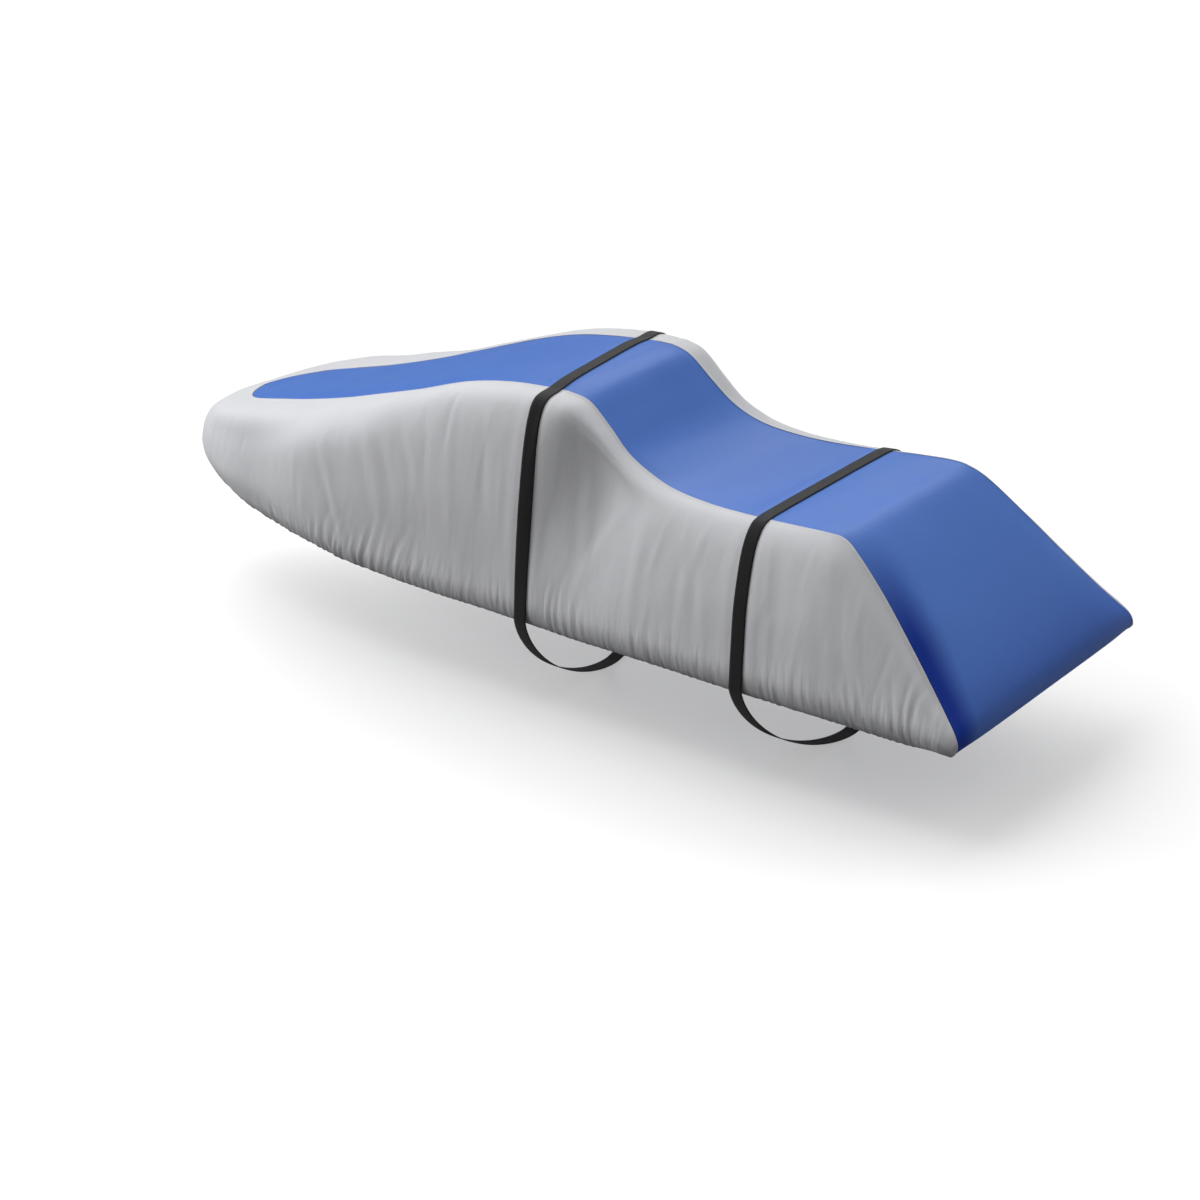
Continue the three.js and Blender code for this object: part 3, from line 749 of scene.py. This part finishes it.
class Material:
    """A principled material, whose nodes come from one method."""

    def __init__(self, name, **constants):
        self.data = bpy.data.materials.new(name)
        self.data.use_nodes = True
        self.tree = self.data.node_tree
        self.shader = self.tree.nodes["Principled BSDF"]
        for socket, value in constants.items():
            self.shader.inputs[socket.replace("_", " ")].default_value = value

    def node(self, kind, settings=None, inputs=(), output=0):
        """Adds a node with its settings, then its inputs' values or links, and gives one output."""
        node = self.tree.nodes.new(kind)
        for key, value in (settings or {}).items():
            setattr(node, key, value)
        pairs = inputs.items() if isinstance(inputs, dict) else enumerate(inputs)
        for key, value in pairs:
            if isinstance(value, Value):
                self.tree.links.new(value.socket, node.inputs[key])
            else:
                node.inputs[key].default_value = value
        return Value(self, node.outputs[output])

    def place(self, uv_map=None):
        """Object coordinates in metres, or the piece's own UV map."""
        if uv_map is None:
            return self.node("ShaderNodeTexCoord", output="Object")
        return self.node("ShaderNodeUVMap", {"uv_map": uv_map})

    def stretched(self, place, scale):
        return self.node("ShaderNodeMapping", None, {"Vector": place, "Scale": scale})

    def part(self, place, axis):
        return self.node("ShaderNodeSeparateXYZ", None, [place], output=axis)

    def noise(self, place, scale, detail=2.0, roughness=0.5):
        inputs = {"Vector": place, "Scale": scale, "Detail": detail, "Roughness": roughness}
        return self.node("ShaderNodeTexNoise", None, inputs)

    def mix(self, share, low, high):
        """A colour from low to high."""
        settings = {"data_type": "RGBA"}
        return self.node("ShaderNodeMix", settings, {0: share, 6: low, 7: high}, output=2)

    def tint(self, colour, brightness):
        """A colour times a brightness."""
        return self.node("ShaderNodeVectorMath", {"operation": "SCALE"}, {0: colour, "Scale": brightness})

    def bumps(self, height, distance, strength, under=None):
        """Bumps on the surface, or on other bumps under them."""
        inputs = {"Height": height, "Distance": distance, "Strength": strength}
        if under is not None:
            inputs["Normal"] = under
        return self.node("ShaderNodeBump", None, inputs)

    def finish(self, **sockets):
        for key, value in sockets.items():
            self.tree.links.new(value.socket, self.shader.inputs[key.replace("_", " ")])
        return self.data


def woven(material, place, pitch):
    """Height of a plain weave, 0 to 1: two families of threads."""
    turns = 2 * math.pi / pitch
    x, y = material.part(place, 0) * turns, material.part(place, 1) * turns
    return (x.math("SINE") * y.math("SINE")) * 0.5 + 0.5


def stitches(material, place, offset, pitch, length, half_width):
    """1 on a row of stitches that runs along a UV map's first axis, at offset on its second."""
    across = (material.part(place, 1) - offset).math("ABSOLUTE").fades(half_width, half_width * 0.4)
    along = (material.part(place, 0) / pitch).math("FRACT")
    middle = (along - 0.5).math("ABSOLUTE").fades(length / 2, length / 2 - 0.12)
    return across * middle


# ---- finishes ------------------------------------------------------------------------------------------
def grey_fabric():
    m = Material("grey_fabric", Sheen_Weight=0.05, Sheen_Roughness=0.45, Specular_IOR_Level=0.3)
    cloth, seam, hem = m.place("cloth"), m.place("seam"), m.place("hem")
    mottle = m.noise(cloth, 9.0, 4.0, 0.6)
    streaks = m.noise(m.stretched(cloth, (60, 5, 1)), 1.0, 3.0, 0.55)
    weave = woven(m, cloth, WEAVE_PITCH)
    over_hem = m.part(hem, 1)
    # painted shade over the hem's turn, uneven along the hem
    unevenness = 0.7 + 0.6 * m.noise(m.stretched(hem, (28, 8, 1)), 1.0, 2.0)
    shade = 1 - HEM_SHADE * over_hem.fades(*HEM_SHADE_RISE) * unevenness
    brightness = (0.955 + 0.05 * mottle + 0.03 * streaks + 0.012 * weave) * shade
    thread = stitches(m, seam, offset=0.0045, pitch=0.0052, length=0.72, half_width=0.0007)
    colour = m.tint(GREY, brightness * (1 - 0.12 * thread))
    crinkle = m.noise(m.stretched(cloth, (38, 12, 1)), 1.0, 4.0, 0.62)
    grain = m.noise(cloth, 900.0, 2.0)
    run = m.part(hem, 0).math("ABSOLUTE")
    lean = PLEAT_LEAN[0] + (PLEAT_LEAN[1] - PLEAT_LEAN[0]) * run.fades(*PLEAT_LEAN_RUN)
    leaning = m.node("ShaderNodeCombineXYZ", None, [run - lean * over_hem, over_hem])
    pleats = m.noise(m.stretched(leaning, (56, 8, 1)), 1.0, 1.2, 0.5) * over_hem.fades(PLEAT_RISE, 0.0)
    soft = m.bumps(crinkle + 5.0 * pleats, CRINKLE_HEIGHT, 0.65)
    fine = m.bumps(weave * 0.6 + grain * 0.5 + thread * 2.0, THREAD_HEIGHT, 0.5, under=soft)
    roughness = 0.68 + 0.1 * mottle
    return m.finish(Base_Color=colour, Roughness=roughness, Normal=fine)


def blue_fabric():
    m = Material("blue_fabric", Specular_IOR_Level=0.35)
    cloth, edge, space = m.place("cloth"), m.place("edge"), m.place()
    mottle = m.noise(cloth, 8.0, 4.0, 0.6)
    streaks = m.noise(m.stretched(cloth, (5, 45, 1)), 1.0, 3.0, 0.55)
    weave = woven(m, cloth, WEAVE_PITCH)
    x = m.part(space, 0)
    # painted shade: dark blue beside the port seam on the rear slope
    seam_shade = m.part(edge, 0).fades(*SEAM_SHADE_WIDTH) * x.fades(*SEAM_SHADE_START)
    # painted shade: the same dark blue, more weakly, towards the stern hem
    stern_hem_shade = x.fades(*STERN_HEM_SHADE) * STERN_HEM_SHADE_SHARE
    base = m.mix((seam_shade * SEAM_SHADE_SHARE).math("MAXIMUM", stern_hem_shade), BLUE, SHADE_BLUE)
    flecks = m.noise(cloth, 60.0, 3.0, 0.7)
    brightness = 0.88 + 0.10 * mottle + 0.05 * streaks + 0.08 * flecks + 0.02 * weave
    colour = m.tint(base, brightness)
    crinkle = m.noise(m.stretched(cloth, (11, 14, 1)), 1.0, 4.0, 0.6)
    grain = m.noise(cloth, 900.0, 2.0)
    soft = m.bumps(crinkle, CRINKLE_HEIGHT, 0.4)
    fine = m.bumps(weave * 0.6 + grain * 0.5, THREAD_HEIGHT, 0.5, under=soft)
    roughness = 0.36 + 0.14 * mottle + 0.3 * seam_shade
    return m.finish(Base_Color=colour, Roughness=roughness, Normal=fine)


def black_webbing():
    m = Material("black_webbing", Sheen_Weight=0.1, Specular_IOR_Level=0.4)
    place = m.place("webbing")
    along, across = m.part(place, 0), m.part(place, 1)
    ribs = (across * (2 * math.pi / RIB_PITCH)).math("SINE") * 0.5 + 0.5
    picks = ((along * (2 * math.pi / PICK_PITCH)) + ribs * 1.8).math("SINE") * 0.5 + 0.5
    weave = ribs * 0.6 + picks * 0.4
    selvedge = across.math("ABSOLUTE").fades(*SELVEDGE)
    dust = m.noise(place, 40.0, 3.0)
    brightness = 0.75 + 0.35 * weave * (1 - 0.5 * selvedge) + 0.25 * dust
    colour = m.tint(BLACK, brightness)
    relief = m.bumps(weave * (1 - 0.6 * selvedge) - 0.24 * selvedge, WEBBING_HEIGHT, 0.8)
    return m.finish(Base_Color=colour, Normal=relief, Roughness=0.55 + 0.15 * dust)


# ---- the cover -----------------------------------------------------------------------------------------
def dress(piece, material, node):
    piece.data.materials.append(material)
    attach(piece, "root")
    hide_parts(node)


def make_cover():
    side = side_cloth()
    dress(side, grey_fabric(), "side_cloth")
    top = top_cloth()
    dress(top, blue_fabric(), "top_cloth")
    webbing = black_webbing()
    for strap, length in STRAP_LENGTHS.items():
        piece = strap_loop(strap)
        dress(piece, webbing, strap)


# ---- floor and light -----------------------------------------------------------------------------------
def make_floor():
    bm = bmesh.new()
    bmesh.ops.create_grid(bm, x_segments=1, y_segments=1, size=FLOOR_SIZE)
    bmesh.ops.translate(bm, verts=bm.verts, vec=(0, 0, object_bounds()[0][2] - 0.002))
    mesh = bpy.data.meshes.new("floor")
    bm.to_mesh(mesh)
    bm.free()
    floor = bpy.data.objects.new("floor", mesh)
    bpy.context.collection.objects.link(floor)
    m = Material("floor_paint", Roughness=0.9, Specular_IOR_Level=0.1)
    seen = m.node("ShaderNodeLightPath", output="Is Camera Ray")
    m.shader.inputs["Emission Strength"].default_value = 1.0
    colour, glow = m.mix(seen, FLOOR_BOUNCE, FLOOR), m.mix(seen, (0, 0, 0, 1), FLOOR_GLOW)
    floor.data.materials.append(m.finish(Base_Color=colour, Emission_Color=glow))


def make_light():
    for name, (place, strength, spread, lights) in SUNS.items():
        data = bpy.data.lights.new(name, "SUN")
        data.energy = strength
        data.angle = math.radians(spread)
        sun = bpy.data.objects.new(name, data)
        sun.visible_diffuse = lights
        sun.visible_glossy = not lights
        sun.rotation_mode = "QUATERNION"
        sun.rotation_quaternion = Vector(place).to_track_quat("Z", "Y")
        bpy.context.collection.objects.link(sun)

    for name, (place, aim, size, power) in PANELS.items():
        data = bpy.data.lights.new(name, "AREA")
        data.shape = "RECTANGLE"
        data.size, data.size_y = size
        data.energy = power
        panel = bpy.data.objects.new(name, data)
        panel.visible_glossy = False
        panel.location = place
        panel.rotation_mode = "QUATERNION"
        panel.rotation_quaternion = (Vector(aim) - Vector(place)).to_track_quat("-Z", "Y")
        bpy.context.collection.objects.link(panel)

    world = bpy.data.worlds.new("studio")
    world.use_nodes = True
    tree = world.node_tree
    background = tree.nodes["Background"]
    path = tree.nodes.new("ShaderNodeLightPath")
    level = tree.nodes.new("ShaderNodeMapRange")
    level.inputs["To Min"].default_value = AMBIENT
    level.inputs["To Max"].default_value = 1.0
    tree.links.new(path.outputs["Is Camera Ray"], level.inputs["Value"])
    tree.links.new(level.outputs["Result"], background.inputs["Strength"])
    background.inputs["Color"].default_value = (1, 1, 1, 1)
    bpy.context.scene.world = world
    bpy.context.scene.view_settings.view_transform = "Standard"


make_cover()
make_floor()
make_light()
